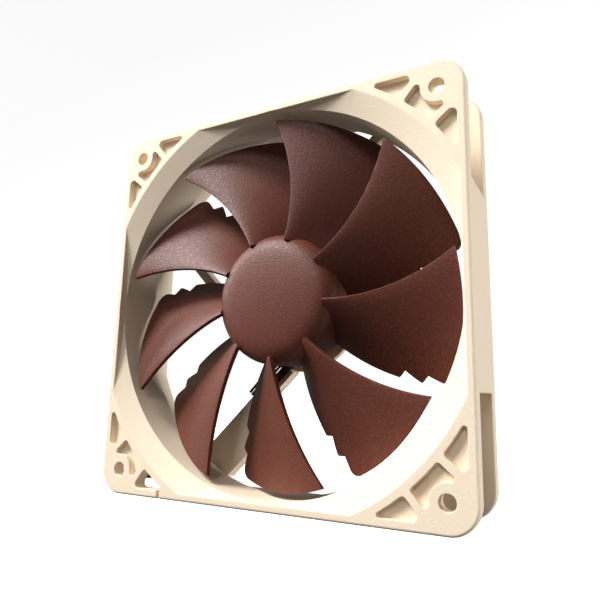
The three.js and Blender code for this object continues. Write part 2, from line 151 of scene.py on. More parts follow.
class Value:
    """A number in a shader. Python's arithmetic on it adds Math nodes."""

    def __init__(self, surface, socket):
        self.surface = surface
        self.socket = socket

    def math(self, operation, *values, clamp=False):
        settings = {"operation": operation, "use_clamp": clamp}
        return self.surface.node("ShaderNodeMath", settings, dict(enumerate(values)))

    def __add__(self, other):
        return self.math("ADD", self, other)

    def __radd__(self, other):
        return self.math("ADD", other, self)

    def __sub__(self, other):
        return self.math("SUBTRACT", self, other)

    def __rsub__(self, other):
        return self.math("SUBTRACT", other, self)

    def __mul__(self, other):
        return self.math("MULTIPLY", self, other)

    def __rmul__(self, other):
        return self.math("MULTIPLY", other, self)

    def clamped(self):
        return self.math("ADD", self, 0.0, clamp=True)

    def sine(self):
        return self.math("SINE", self)

    def above(self, edge, softness):
        """0 below the edge and 1 above it, with a soft step between."""
        settings = {"interpolation_type": "SMOOTHSTEP"}
        inputs = {"Value": self, "From Min": edge - softness, "From Max": edge + softness}
        return self.surface.node("ShaderNodeMapRange", settings, inputs)


class Surface:
    """A material on the Principled shader."""

    def __init__(self, name, **constants):
        self.material = bpy.data.materials.new(name)
        self.material.use_nodes = True
        self.tree = self.material.node_tree
        self.principled = self.tree.nodes["Principled BSDF"]
        for socket, value in constants.items():
            self.principled.inputs[socket.replace("_", " ")].default_value = value
        self.place = self.node("ShaderNodeTexCoord", {}, {}, "Object")

    def node(self, kind, settings, inputs, output=0):
        """Adds a node, sets it, then fills its sockets with values or links."""
        node = self.tree.nodes.new(kind)
        for name, value in settings.items():
            setattr(node, name, value)
        for name, value in inputs.items():
            if isinstance(value, Value):
                self.tree.links.new(value.socket, node.inputs[name])
            else:
                node.inputs[name].default_value = value
        return Value(self, node.outputs[output])

    def noise(self, scale, detail=2.0, roughness=0.5, place=None):
        inputs = {
            "Vector": place or self.place, "Scale": scale, "Detail": detail,
            "Roughness": roughness,
        }
        return self.node("ShaderNodeTexNoise", {}, inputs)

    def cells(self, scale):
        inputs = {"Vector": self.place, "Scale": scale}
        return self.node("ShaderNodeTexVoronoi", {"feature": "SMOOTH_F1"}, inputs)

    def stretched(self, scale):
        return self.node("ShaderNodeMapping", {}, {"Vector": self.place, "Scale": scale})

    def mixed(self, share, first, second):
        """Two colours, each a value or three numbers, mixed by a share."""
        inputs = {0: share}
        for socket, colour in ((6, first), (7, second)):
            inputs[socket] = colour if isinstance(colour, Value) else (*colour, 1)
        return self.node("ShaderNodeMix", {"data_type": "RGBA"}, inputs, 2)

    def separated(self, axis):
        return self.node("ShaderNodeSeparateXYZ", {}, {"Vector": self.place}, axis)

    def feed(self, socket, value):
        self.tree.links.new(value.socket, self.principled.inputs[socket])

    def bump(self, height, distance, strength=1.0):
        inputs = {"Height": height, "Distance": distance, "Strength": strength}
        self.feed("Normal", self.node("ShaderNodeBump", {}, inputs))


def shaded(colour, factor):
    return tuple(min(1.0, channel * factor) for channel in colour)


def moulded_plastic(name, colour, roughness, grain_scale, grain_depth, contrast=0.04):
    """Plastic from a spark-eroded mould: a fine pebbled grain over slow changes of tone. The colour
    is a little darker in the grain's pits and paler on its bumps: painted shade and painted
    highlight.
    """
    surface = Surface(name, IOR=1.49, Specular_IOR_Level=0.35)
    cloud = surface.noise(38, detail=3)
    pebble = surface.cells(grain_scale)
    fine = surface.noise(grain_scale * 1.9, detail=2, roughness=0.6)
    # The tone follows the grain's bump heights as well as slow clouds: painted shade in the pits
    # and painted highlight on the bumps.
    tone_with_grain_shade = (cloud * 0.6 + fine * 0.2 + pebble * 0.3).clamped()
    light = shaded(colour, 1 + contrast)
    dark = shaded(colour, 1 - contrast)
    surface.feed("Base Color", surface.mixed(tone_with_grain_shade, dark, light))
    surface.feed("Roughness", (roughness + (fine - 0.5) * 0.16 + (cloud - 0.5) * 0.08).clamped())
    surface.bump(pebble * 0.65 + fine * 0.35, grain_depth)
    return surface.material


def housing_plastic():
    colour = bpy.context.scene.fan_colours.housing
    return moulded_plastic("Housing plastic", colour, 0.6, 1900, 0.00006, 0.035)


def impeller_plastic():
    """Brown plastic with a coarse pebbled grain and slow flow marks. It is darker in the grain's
    pits and paler on its bumps: painted shade and painted highlight.
    """
    colour = bpy.context.scene.fan_colours.impeller
    surface = Surface("Impeller plastic", IOR=1.5, Specular_IOR_Level=0.3)
    cloud = surface.noise(75, detail=4, roughness=0.6)
    pebble = surface.cells(1950)
    fine = surface.noise(3600, detail=2, roughness=0.65)
    speck = surface.noise(1250, detail=2, roughness=0.6).above(0.56, 0.07)
    # The tone follows the grain's bump heights: painted shade in the pits and painted highlight on
    # the bumps, over slow flow marks.
    tone_with_grain_shade = (cloud * 0.55 + fine * 0.25 + pebble * 0.35).clamped()
    base = surface.mixed(tone_with_grain_shade, shaded(colour, 0.78), shaded(colour, 1.22))
    surface.feed("Base Color", surface.mixed(speck * 0.3, base, shaded(colour, 1.9)))
    roughness = 0.5 + (fine - 0.5) * 0.3 + (cloud - 0.5) * 0.12 - speck * 0.08
    surface.feed("Roughness", roughness.clamped())
    surface.bump(pebble * 0.6 + fine * 0.4, 0.00009)
    return surface.material


def lead_sleeve_rubber():
    """Soft black sleeve: a faint weave of scuffs on a dull skin."""
    colour = bpy.context.scene.fan_colours.lead
    surface = Surface("Lead sleeve", IOR=1.5)
    scuff = surface.noise(420, detail=4, roughness=0.65)
    skin = surface.noise(5200, detail=2)
    surface.feed("Base Color", surface.mixed(scuff, shaded(colour, 0.8), shaded(colour, 1.9)))
    surface.feed("Roughness", (0.46 + (scuff - 0.5) * 0.3).clamped())
    surface.bump(skin * 0.6 + scuff * 0.4, 0.00004)
    return surface.material


def worked_metal(name, colour, roughness, scratch, mottling=0.12):
    """Metal with fine tool marks along one direction and a mottled polish."""
    surface = Surface(name, Metallic=1.0)
    marks = surface.noise(1, detail=4, place=surface.stretched(scratch))
    cloud = surface.noise(140, detail=3)
    light = shaded(colour, 1 + mottling)
    dark = shaded(colour, 1 - mottling)
    surface.feed("Base Color", surface.mixed(cloud, dark, light))
    surface.feed("Roughness", (roughness + (marks - 0.5) * 0.25 + (cloud - 0.5) * 0.1).clamped())
    surface.bump(marks, 0.00002)
    return surface.material


def wound_copper():
    """Enamelled wire in even turns, darkened in the grooves between turns: painted shade."""
    surface = Surface("Enamelled copper wire", Metallic=1.0, Coat_Weight=0.6)
    ridge = (surface.separated("Y") * 14000).sine() * 0.5 + 0.5
    # Dark in the grooves between turns and copper-coloured on their crests: painted shade in the
    # grooves.
    surface.feed("Base Color", surface.mixed(ridge, (0.20, 0.06, 0.02), (0.62, 0.24, 0.09)))
    surface.feed("Roughness", (0.32 + (1 - ridge) * 0.2).clamped())
    surface.bump(ridge, 0.00012)
    return surface.material


def laminated_steel():
    """A stack of thin stamped sheets, edge on."""
    surface = Surface("Stacked sheets", Metallic=1.0)
    sheet = (surface.separated("Y") * 12500).sine() * 0.5 + 0.5
    stain = surface.noise(260, detail=4)
    surface.feed("Base Color", surface.mixed(sheet, (0.09, 0.09, 0.1), (0.33, 0.34, 0.36)))
    surface.feed("Roughness", (0.4 + stain * 0.25).clamped())
    surface.bump(sheet, 0.00008)
    return surface.material


def pressed_ferrite():
    surface = Surface("Pressed ferrite")
    grain = surface.noise(3000, detail=3, roughness=0.7)
    stain = surface.noise(180, detail=3)
    surface.feed("Base Color", surface.mixed(stain, (0.018, 0.018, 0.02), (0.05, 0.048, 0.048)))
    surface.feed("Roughness", (0.62 + grain * 0.25).clamped())
    surface.bump(grain, 0.00006)
    return surface.material


def solder_resist():
    """Green resist over woven glass and broad copper tracks."""
    surface = Surface("Solder resist", Coat_Weight=0.3)
    weave = surface.noise(1, detail=1, place=surface.stretched((2600, 900, 700)))
    track = surface.noise(210, detail=1).above(0.52, 0.015)
    green = surface.mixed(track, (0.012, 0.075, 0.032), (0.03, 0.15, 0.06))
    surface.feed("Base Color", green)
    surface.feed("Roughness", (0.3 + weave * 0.15).clamped())
    surface.bump(track + weave * 0.2, 0.00004)
    return surface.material


def plain_paper():
    surface = Surface("Blank label")
    fibre = surface.noise(1, detail=4, place=surface.stretched((900, 900, 2600)))
    cloud = surface.noise(70, detail=3)
    surface.feed("Base Color", surface.mixed(cloud, (0.6, 0.57, 0.5), (0.72, 0.69, 0.62)))
    surface.feed("Roughness", (0.6 + fibre * 0.25).clamped())
    surface.bump(fibre, 0.00003)
    return surface.material


def backdrop_paint():
    """White paint that glows faintly, so that the floor has no horizon."""
    colour = bpy.context.scene.fan_colours.floor
    surface = Surface("Floor paint", Emission_Color=(1, 1, 1, 1), Emission_Strength=0.82)
    cloud = surface.noise(6, detail=2)
    surface.feed("Base Color", surface.mixed(cloud, shaded(colour, 0.995), shaded(colour, 1.005)))
    surface.feed("Roughness", (0.75 + cloud * 0.1).clamped())
    return surface.material


def shared(name, make):
    """A material that several pieces use, made the first time."""
    return bpy.data.materials.get(name) or make()


# Making meshes --------------------------------------------------------------------------


def at(x, y, up):
    """A point in the model, from millimetres about the fan's axis."""
    return Vector((x * MM, y * MM, up * MM + AXIS_HEIGHT))


def about_axis(point):
    """Millimetres about the fan's axis, from a point in the model."""
    return point.x / MM, point.y / MM, (point.z - AXIS_HEIGHT) / MM


def pick(piece):
    """Makes one piece the only selected and active object."""
    if bpy.context.object and bpy.context.object.mode != "OBJECT":
        bpy.ops.object.mode_set(mode="OBJECT")
    bpy.ops.object.select_all(action="DESELECT")
    piece.select_set(True)
    bpy.context.view_layer.objects.active = piece


@contextmanager
def edited(piece, parts="EDGE"):
    """Opens a piece in edit mode with nothing selected, and closes it afterwards."""
    pick(piece)
    bpy.ops.object.mode_set(mode="EDIT")
    bpy.ops.mesh.select_mode(type=parts)
    bpy.ops.mesh.select_all(action="DESELECT")
    yield bmesh.from_edit_mesh(piece.data)
    bpy.ops.object.mode_set(mode="OBJECT")


def added(name):
    """Names the primitive that was just added and applies its place."""
    piece = bpy.context.object
    piece.name = name
    bpy.ops.object.transform_apply(location=True, rotation=True, scale=True)
    return piece


def block(name, x, y, up):
    """A box between the low and high x, y and up."""
    bpy.ops.object.select_all(action="DESELECT")
    low = at(x[0], y[0], up[0])
    high = at(x[1], y[1], up[1])
    bpy.ops.mesh.primitive_cube_add(size=1, location=(low + high) / 2)
    bpy.context.object.scale = high - low
    return added(name)


def round_bar(name, radius, y, x=0, up=0, sides=48):
    """A cylinder along the fan's depth."""
    bpy.ops.object.select_all(action="DESELECT")
    bpy.ops.mesh.primitive_cylinder_add(
        vertices=sides, radius=radius * MM, depth=(y[1] - y[0]) * MM,
        location=at(x, (y[0] + y[1]) / 2, up), rotation=(math.pi / 2, 0, 0),
    )
    return added(name)


def turned_piece(name, profile, steps=144):
    """A profile of [radius, y] points, spun about the fan's axis into a closed piece."""
    bpy.ops.object.select_all(action="DESELECT")
    bpy.ops.mesh.primitive_circle_add(vertices=len(profile), radius=MM, location=at(0, 0, 0))
    piece = added(name)
    closed = profile[0][0] > 0
    with edited(piece, "VERT") as mesh:
        mesh.verts.ensure_lookup_table()
        ring = list(mesh.verts)
        for vertex, (radius, y) in zip(ring, profile):
            vertex.co = at(radius, y, 0)
        if not closed:
            ends = {ring[0], ring[-1]}
            bridge = [edge for edge in mesh.edges if set(edge.verts) == ends]
            bmesh.ops.delete(mesh, geom=bridge, context="EDGES_FACES")
        bmesh.update_edit_mesh(piece.data)
        bpy.ops.mesh.select_all(action="SELECT")
        bpy.ops.mesh.spin(
            steps=steps, angle=2 * math.pi, center=at(0, 0, 0), axis=DEPTH_DIRECTION,
        )
        bpy.ops.mesh.select_all(action="SELECT")
        bpy.ops.mesh.remove_doubles(threshold=0.002 * MM)
        bpy.ops.mesh.normals_make_consistent(inside=False)
    return piece


def sheet_piece(name, outline, y):
    """An outline of [x, up] points, filled and extruded between two depths."""
    bpy.ops.object.select_all(action="DESELECT")
    bpy.ops.mesh.primitive_circle_add(
        vertices=len(outline), radius=MM, fill_type="NGON", location=at(0, 0, 0),
    )
    piece = added(name)
    with edited(piece, "VERT") as mesh:
        mesh.verts.ensure_lookup_table()
        for vertex, (x, up) in zip(list(mesh.verts), outline):
            vertex.co = at(x, y[0], up)
        bmesh.update_edit_mesh(piece.data)
        bpy.ops.mesh.select_all(action="SELECT")
        bpy.ops.mesh.extrude_region_move(
            TRANSFORM_OT_translate={"value": (0, (y[1] - y[0]) * MM, 0)}
        )
        bpy.ops.mesh.select_all(action="SELECT")
        bpy.ops.mesh.normals_make_consistent(inside=False)
    return piece


def combined(piece, *others, operation="DIFFERENCE"):
    """Cuts, joins or intersects a piece with others, which are used up."""
    for other in others:
        pick(piece)
        modifier = piece.modifiers.new("Combine", "BOOLEAN")
        modifier.operation = operation
        modifier.solver = "EXACT"
        modifier.object = other
        bpy.ops.object.modifier_apply(modifier=modifier.name)
        bpy.data.objects.remove(other)
    return piece


def rounded(piece, chosen, radius, segments=3):
    """Rounds the sharp edges that a test on their two ends chooses."""
    with edited(piece) as mesh:
        count = 0
        for edge in mesh.edges:
            ends = [about_axis(vertex.co) for vertex in edge.verts]
            if edge.calc_face_angle(0) > SHARP_EDGE and chosen(*ends):
                edge.select_set(True)
                count += 1
        bmesh.update_edit_mesh(piece.data)
        if not count:
            raise RuntimeError(f"{piece.name} has no edges to round there")
        bpy.ops.mesh.bevel(
            offset=radius * MM, segments=segments, profile=0.5, affect="EDGES",
            clamp_overlap=False,
        )
    return piece


def sharp_rounded(piece, radius, segments=3, angle=35):
    """Rounds every edge sharper than an angle with a Bevel modifier."""
    pick(piece)
    modifier = piece.modifiers.new("Round", "BEVEL")
    modifier.width = radius * MM
    modifier.segments = segments
    modifier.limit_method = "ANGLE"
    modifier.angle_limit = math.radians(angle)
    modifier.use_clamp_overlap = True
    modifier.miter_outer = "MITER_ARC"
    bpy.ops.object.modifier_apply(modifier=modifier.name)
    return piece


def turned_by(piece, degrees):
    """Turns a piece's mesh about the fan's axis, anticlockwise from the front."""
    centre = Matrix.Translation(at(0, 0, 0))
    turn = Matrix.Rotation(-math.radians(degrees), 4, "Y")
    piece.data.transform(centre @ turn @ centre.inverted())
    return piece


def copied(piece, name):
    pick(piece)
    bpy.ops.object.duplicate()
    copy = bpy.context.object
    copy.name = name
    return copy


def finished(piece, material, body, nodes=(), angle=32):
    """Shades a piece, gives it its material, and fixes it to a body of the fan."""
    pick(piece)
    if piece.type == "MESH":
        bpy.ops.object.shade_smooth_by_angle(angle=math.radians(angle))
        normals = piece.modifiers.new("Flat faces", "WEIGHTED_NORMAL")
        normals.keep_sharp = True
        normals.weight = 100
        bpy.ops.object.modifier_apply(modifier=normals.name)
    piece.data.materials.clear()
    piece.data.materials.append(material)
    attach(piece, body)
    if nodes:
        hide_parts(*nodes)
    return piece


def tube(name, points, radius, resolution=6):
    """A round tube through points of the model, as one open spline."""
    curve = bpy.data.curves.new(name, "CURVE")
    curve.dimensions = "3D"
    curve.bevel_depth = radius
    curve.bevel_resolution = resolution
    curve.use_fill_caps = True
    spline = curve.splines.new("POLY")
    spline.points.add(len(points) - 1)
    for target, point in zip(spline.points, points):
        target.co = (*point, 1)
    spline.use_smooth = True
    piece = bpy.data.objects.new(name, curve)
    bpy.context.collection.objects.link(piece)
    return piece


def smooth_route(points, steps=8):
    """A Catmull-Rom route through points, with some steps between each two."""
    route = []
    padded = [2 * points[0] - points[1], *points, 2 * points[-1] - points[-2]]
    for before, start, end, after in zip(padded, padded[1:], padded[2:], padded[3:]):
        for step in range(steps):
            t = step / steps
            a = 2 * start
            b = (end - before) * t
            c = (2 * before - 5 * start + 4 * end - after) * t**2
            d = (3 * start - before - 3 * end + after) * t**3
            route.append((a + b + c + d) / 2)
    route.append(points[-1])
    return route


def along_ray(degrees, outwards, aside):
    """x and up of a point outwards along a ray from the axis and to the left of it."""
    angle = math.radians(degrees)
    x = outwards * math.cos(angle) - aside * math.sin(angle)
    up = outwards * math.sin(angle) + aside * math.cos(angle)
    return x, up


def strut_point(outwards, aside):
    """x and up of a point along and beside the line of the lead's strut."""
    return along_ray(LEAD_STRUT_ANGLE, outwards, aside)


# Housing --------------------------------------------------------------------------------


def on_outline(x, up):
    """Whether a point is on the housing's outside."""
    corner = bpy.context.scene.fan_sizes.corner_radius / MM
    inner = HALF_SIDE - corner
    if abs(x) > inner and abs(up) > inner:
        return abs(math.hypot(abs(x) - inner, abs(up) - inner) - corner) < 0.06
    return max(abs(x), abs(up)) > HALF_SIDE - 0.03


def near(value, target, slack=0.02):
    return abs(value - target) < slack


RECESS_START = 27.5
DUCT_RADIUS = 60
FLARE_RADIUS = 62.4
FLARE_START = 2.7
FUNNEL_RADIUS = 64.3
FUNNEL_REACH = HALF_DEPTH - 2.5
FRONT_LIP = 57.8
REAR_LIP = 58.4
HOLE_CENTRE = 52.5
POCKET_RADIUS = 66.4
BOSS_RADIUS = 4.6


def housing_block(sizes):
    """The square block with its corners and outer edges rounded."""
    side = (-HALF_SIDE, HALF_SIDE)
    body = block("housing_body", side, (-HALF_DEPTH, HALF_DEPTH), side)
    rounded(body, lambda a, b: not near(a[1], b[1]), sizes.corner_radius / MM, 12)
    outer = HALF_DEPTH
    rounded(body, lambda a, b: near(abs(a[1]), outer) and near(a[1], b[1]), sizes.edge_radius / MM)
    return body


def open_corners(body, sizes):
    """Cuts the space between the flanges at each corner, outside the duct."""
    flange = HALF_DEPTH - sizes.flange / MM
    far = HALF_SIDE + 1
    profile = [
        (0, -flange - 1), (DUCT_RADIUS, -flange - 1), (DUCT_RADIUS, FLARE_START),
        (FLARE_RADIUS, flange), (FLARE_RADIUS + 0.4, flange + 1), (0, flange + 1),
    ]
    for quarter in range(4):
        space = block("space", (RECESS_START, far), (-flange, flange), (RECESS_START, far))
        combined(space, turned_piece("duct", profile))
        combined(body, turned_by(space, 90 * quarter))

    def at_rim(a, b):
        if not (on_outline(a[0], a[2]) and on_outline(b[0], b[2])):
            return False
        along = near(abs(a[1]), flange) and near(a[1], b[1])
        between = max(abs(a[1]), abs(b[1])) < flange + 0.1
        across = [near(abs(a[i]), RECESS_START) and near(a[i], b[i]) for i in (0, 2)]
        return along or (between and any(across))

    rounded(body, at_rim, sizes.edge_radius / MM * 0.8)
    return body


def open_duct(body, sizes):
    """Cuts the bore, the intake funnel and the exhaust flare."""
    bore = sizes.bore_radius / MM
    combined(body, round_bar("bore", bore, (-FACE, FACE), sides=144))
    slope = (FUNNEL_RADIUS - bore) / (HALF_DEPTH - FUNNEL_REACH)
    funnel = turned_piece("funnel", [
        (0, 0.4 - FUNNEL_REACH), (bore - 0.4 * slope, 0.4 - FUNNEL_REACH),
        (FUNNEL_RADIUS, -HALF_DEPTH), (FUNNEL_RADIUS, -FACE), (0, -FACE),
    ])
    lip = (-FRONT_LIP, FRONT_LIP)
    combined(funnel, block("clip", lip, (-FACE - 1, 0), lip), operation="INTERSECT")
    slope = (FLARE_RADIUS - bore) / (HALF_DEPTH - FLARE_START)
    flare = turned_piece("flare", [
        (0, FLARE_START - 0.6), (bore - 0.6 * slope, FLARE_START - 0.6),
        (FLARE_RADIUS, HALF_DEPTH), (FLARE_RADIUS, FACE), (0, FACE),
    ])
    lip = (-REAR_LIP, REAR_LIP)
    combined(flare, block("clip", lip, (0, FACE + 1), lip), operation="INTERSECT")
    combined(body, funnel, flare)
    inner = HALF_SIDE - sizes.edge_radius / MM - 0.1

    def at_mouth(a, b):
        level = near(abs(a[1]), HALF_DEPTH) and near(a[1], b[1])
        return level and max(abs(c) for c in (a[0], a[2], b[0], b[2])) < inner

    rounded(body, at_mouth, 0.25, 2)
    return body


def arc(centre, radius, start, stop, steps=8):
    """Points [x, up] on an arc between two bearings in degrees."""
    points = []
    for step in range(steps + 1):
        angle = math.radians(start + (stop - start) * step / steps)
        points.append((
            centre[0] + radius * math.cos(angle), centre[1] + radius * math.sin(angle),
        ))
    return points


def bearing(point, origin=(0, 0)):
    return math.degrees(math.atan2(point[1] - origin[1], point[0] - origin[0]))


def pocket(reach, mirrored=False):
    """A cutter for the three-sided pocket beside the top right corner."""
    ray, rim = 51, FRONT_LIP - 0.2
    inner_round, outer_round, tip_round = 1.1, 1.4, 0.75
    level = rim - outer_round
    start = math.sqrt((POCKET_RADIUS + inner_round) ** 2 - inner_round**2)
    at_bore = along_ray(ray, start, inner_round)
    slope = math.radians(ray)
    at_corner = ((level * math.cos(slope) - outer_round) / math.sin(slope), level)
    level = rim - tip_round
    at_tip = (math.sqrt((POCKET_RADIUS + tip_round) ** 2 - level**2), level)
    outline = [
        *arc(at_bore, inner_round, bearing(at_bore) + 180, ray + 270),
        *arc(at_corner, outer_round, ray - 90, 90),
        *arc(at_tip, tip_round, 90, bearing(at_tip) + 180),
        *arc((0, 0), POCKET_RADIUS, bearing(at_tip), bearing(at_bore), 10)[1:-1],
    ]
    if mirrored:
        outline = [(up, x) for x, up in reversed(outline)]
    return sheet_piece("pocket", outline, (-FACE, reach))


def corner_pocket(reach):
    """A cutter for the pocket between the bore and the screw hole's rim."""
    spread, base_round, ear_round = 4.3, 0.9, 0.95
    hole = math.hypot(HOLE_CENTRE, HOLE_CENTRE)
    start = math.sqrt((POCKET_RADIUS + base_round) ** 2 - base_round**2)
    base = along_ray(-spread, start, base_round)
    slope = math.radians(spread)
    level = hole * math.cos(slope)
    across = ear_round - hole * math.sin(slope)
    inset = math.sqrt((BOSS_RADIUS + ear_round) ** 2 - across**2)
    ear = along_ray(-spread, level - inset, ear_round)
    half = [
        *arc((0, 0), POCKET_RADIUS, 0, bearing(base), 4)[:-1],
        *arc(base, base_round, bearing(base) + 180, 270 - spread),
        *arc(ear, ear_round, -90 - spread, bearing((hole, 0), ear)),
        *arc((hole, 0), BOSS_RADIUS, bearing(ear, (hole, 0)), -180, 8)[1:],
    ]
    whole = half + [(outwards, -aside) for outwards, aside in reversed(half[1:-1])]
    outline = [along_ray(45, outwards, aside) for outwards, aside in whole]
    return sheet_piece("pocket", outline, (-FACE, reach))


def cut_pockets(body, sizes):
    """Cuts the pockets and screw holes. One pocket at the lead's corner is cut right through."""
    floor = sizes.pocket_depth / MM - HALF_DEPTH
    through = 1 + sizes.flange / MM - HALF_DEPTH
    for quarter in range(4):
        degrees = 90 * quarter
        first = pocket(through if quarter == 2 else floor)
        for cutter in (first, pocket(floor, mirrored=True), corner_pocket(floor)):
            combined(body, turned_by(cutter, degrees))
    slot_sides, slot_top = (-36.3, -35.1), -56.6
    combined(body, block("slot", slot_sides, (-FACE, through), (-HALF_SIDE - 1, slot_top)))
    for x in (-HOLE_CENTRE, HOLE_CENTRE):
        for up in (-HOLE_CENTRE, HOLE_CENTRE):
            hole = round_bar("hole", sizes.hole_radius / MM, (-FACE, FACE), x, up, sides=40)
            combined(body, hole)

    def at_pocket(a, b):
        if not (near(a[1], -HALF_DEPTH) and near(b[1], -HALF_DEPTH)):
            return False
        radii = [math.hypot(end[0], end[2]) for end in (a, b)]
        inside = max(abs(c) for c in (a[0], a[2], b[0], b[2])) < FRONT_LIP
        return min(radii) > POCKET_RADIUS - 0.2 and inside

    rounded(body, at_pocket, 0.22, 2)
    with edited(body, "VERT") as mesh:
        for vertex in mesh.verts:
            vertex.co.y = max(vertex.co.y, HOUSING_LOW[1])
        bmesh.update_edit_mesh(body.data)
    return body


def make_housing():
    sizes = bpy.context.scene.fan_sizes
    body = housing_block(sizes)
    open_corners(body, sizes)
    open_duct(body, sizes)
    cut_pockets(body, sizes)
    with edited(body, "VERT"):
        bpy.ops.mesh.select_all(action="SELECT")
        bpy.ops.mesh.remove_doubles(threshold=0.005 * MM)
        bpy.ops.mesh.select_all(action="DESELECT")
        bpy.ops.mesh.select_non_manifold(extend=False)
        bpy.ops.mesh.fill_holes(sides=8)
    bore = sizes.bore_radius / MM
    with edited(body) as mesh:
        for edge in mesh.edges:
            ends = [about_axis(vertex.co) for vertex in edge.verts]
            if all(near(math.hypot(x, up), bore, 0.1) for x, _, up in ends):
                edge.select_set(near(ends[0][1], ends[1][1]))
        bmesh.update_edit_mesh(body.data)
        bpy.ops.mesh.mark_sharp()
    plastic = shared("Housing plastic", housing_plastic)
    finished(body, plastic, "frame", ["housing"])


# Motor mount ----------------------------------------------------------------------------

BASE_RADIUS = 21.2
BASE_LEVEL = 10.3
STRUT_LEVEL = 8.5
STRUT_REACH = 60.5
STRUT_SIDES = (17.4, 20.8)


def make_motor_mount():
    plastic = shared("Housing plastic", housing_plastic)
    rear = HALF_DEPTH
    base = turned_piece("motor_base", [
        (5.3, BASE_LEVEL), (20.6, BASE_LEVEL), (21.0, BASE_LEVEL + 0.15),
        (BASE_RADIUS, BASE_LEVEL + 0.5), (BASE_RADIUS, rear - 0.4), (21.0, rear - 0.1),
        (20.7, rear), (17.5, rear), (17.3, rear - 0.15), (17.3, rear - 0.8), (5.3, rear - 0.8),
    ], 96)
    pieces = [base]
    near_side, far_side = STRUT_SIDES
    outline = [
        strut_point(-9, near_side), strut_point(STRUT_REACH, near_side),
        strut_point(STRUT_REACH, far_side), strut_point(4, far_side),
    ]
    for number in (1, 2, 3):
        strut = sheet_piece(f"strut_{number}", outline, (STRUT_LEVEL, rear))
        hollow = round_bar("hollow", BASE_RADIUS - 0.7, (0, FACE), sides=96)
        combined(strut, hollow)
        pieces.append(turned_by(sharp_rounded(strut, 0.5), 90 * number))
    pieces.extend(lead_strut_pieces(rear))
    for piece in pieces:
        finished(piece, plastic, "frame", ["housing"])


def lead_strut_pieces(rear):
    """The lead's strut: an open trough that widens into a flat, covered duct."""
    reach = STRUT_REACH

    def far_side(back):
        return [
            strut_point(reach, 22 - back), strut_point(42, 22 - back),
            strut_point(30, 14.5 - back), strut_point(16, 14.5 - back),
        ]

    floor = [*far_side(0), strut_point(18.5, 9.8), strut_point(reach, 9.8)]
    wall = [*far_side(0), *reversed(far_side(1.5))]
    cover = [*far_side(0)[:3], strut_point(31, 9.8), strut_point(reach, 9.8)]
    side = [
        strut_point(reach, 9.8), strut_point(36, 9.8),
        strut_point(36, 10.6), strut_point(reach, 10.6),
    ]
    pieces = [
        sheet_piece("lead_strut_floor", floor, (rear - 1, rear)),
        sheet_piece("lead_strut_wall", wall, (STRUT_LEVEL, rear)),
        sheet_piece("lead_strut_cover", cover, (7.9, 9.0)),
        sheet_piece("lead_strut_side", side, (8.2, rear)),
    ]
    for piece in pieces:
        limit = round_bar("limit", 61.2, (0, FACE), sides=144)
        combined(piece, limit, operation="INTERSECT")
        sharp_rounded(piece, 0.3, 2)
    return pieces


# Impeller -------------------------------------------------------------------------------

BLADE_TIP = 56.0
TIP_ROUND_START = 53.4
# The radii where each notch starts, is deepest and closes, and its share of the chord.
NOTCHES = ((41.9, 42.9, 48.4, 0.09), (48.4, 49.5, 56.0, 0.075))


def blade_place(radius, chord):
    """Degrees from the leading tip and y, across a blade from its leading edge."""
    span = (radius - 18.5) / (BLADE_TIP - 18.5)
    out = max(span, 0.0)
    lead = 14.6 * (out**1.18 - 1)
    trail = -49 + 12.5 * out**1.4
    lead_y = -7.8 - 5 * (span - 0.52) ** 2
    trail_y = 6.6 - 1.2 * out**5
    camber = chord**1.35
    return lead + (trail - lead) * chord, lead_y + (trail_y - lead_y) * camber


def chord_end(radius):
    """Share of the chord that the two notches in the trailing edge leave."""
    tip = max(0, (radius - TIP_ROUND_START) / (BLADE_TIP - TIP_ROUND_START))
    whole = 1 - 0.07 * (1 - math.sqrt(1 - min(tip, 1) ** 2))
    for start, end, close, cut in NOTCHES:
        if start < radius <= end:
            share = (radius - start) / (end - start)
            return whole - cut * share * share * (3 - 2 * share)
        if end < radius < close:
            return whole - cut * ((close - radius) / (close - end)) ** 1.2
    return whole


def blade_radii():
    """Stations along a blade, closer together at the steps of its notches."""
    radii = [17.6 + 0.9 * i for i in range(43)]
    for start, end, _, _ in NOTCHES:
        radii += [start - 0.3 + (end - start + 0.6) * i / 8 for i in range(9)]
    radii.append(BLADE_TIP)
    kept = [radii[0]]
    for radius in sorted(radii):
        if radius - kept[-1] > 0.1 and radius <= BLADE_TIP:
            kept.append(radius)
    kept[-1] = BLADE_TIP
    return kept


def make_blades():
    sizes = bpy.context.scene.fan_sizes
    radii = blade_radii()
    chord_steps = 30
    bpy.ops.object.select_all(action="DESELECT")
    bpy.ops.mesh.primitive_grid_add(
        x_subdivisions=len(radii) - 1, y_subdivisions=chord_steps, size=1,
    )
    blade = added("blade_1")
    first = math.degrees(sizes.blade_rest)
    with edited(blade, "VERT") as mesh:
        for vertex in mesh.verts:
            radius = radii[round((vertex.co.x + 0.5) * (len(radii) - 1))]
            share = 0.5 - vertex.co.y
            degrees, y = blade_place(radius, share * chord_end(radius))
            angle = math.radians(first + degrees)
            vertex.co = at(radius * math.cos(angle), y, radius * math.sin(angle))
        bmesh.update_edit_mesh(blade.data)
    pick(blade)
    wall = blade.modifiers.new("Wall", "SOLIDIFY")
    wall.thickness = sizes.blade_thickness
    wall.offset = 0
    wall.use_even_offset = True
    bpy.ops.object.modifier_apply(modifier=wall.name)
    sharp_rounded(blade, 0.42, 3, 50)
    with edited(blade, "FACE"):
        bpy.ops.mesh.select_all(action="SELECT")
        bpy.ops.mesh.normals_make_consistent(inside=False)
    plastic = shared("Impeller plastic", impeller_plastic)
    pitch = 360 / sizes.blade_count
    for number in range(2, sizes.blade_count + 1):
        other = turned_by(copied(blade, f"blade_{number}"), pitch * (number - 1))
        finished(other, plastic, "rotor", ["impeller"], 40)
    finished(blade, plastic, "rotor", ["impeller"], 40)


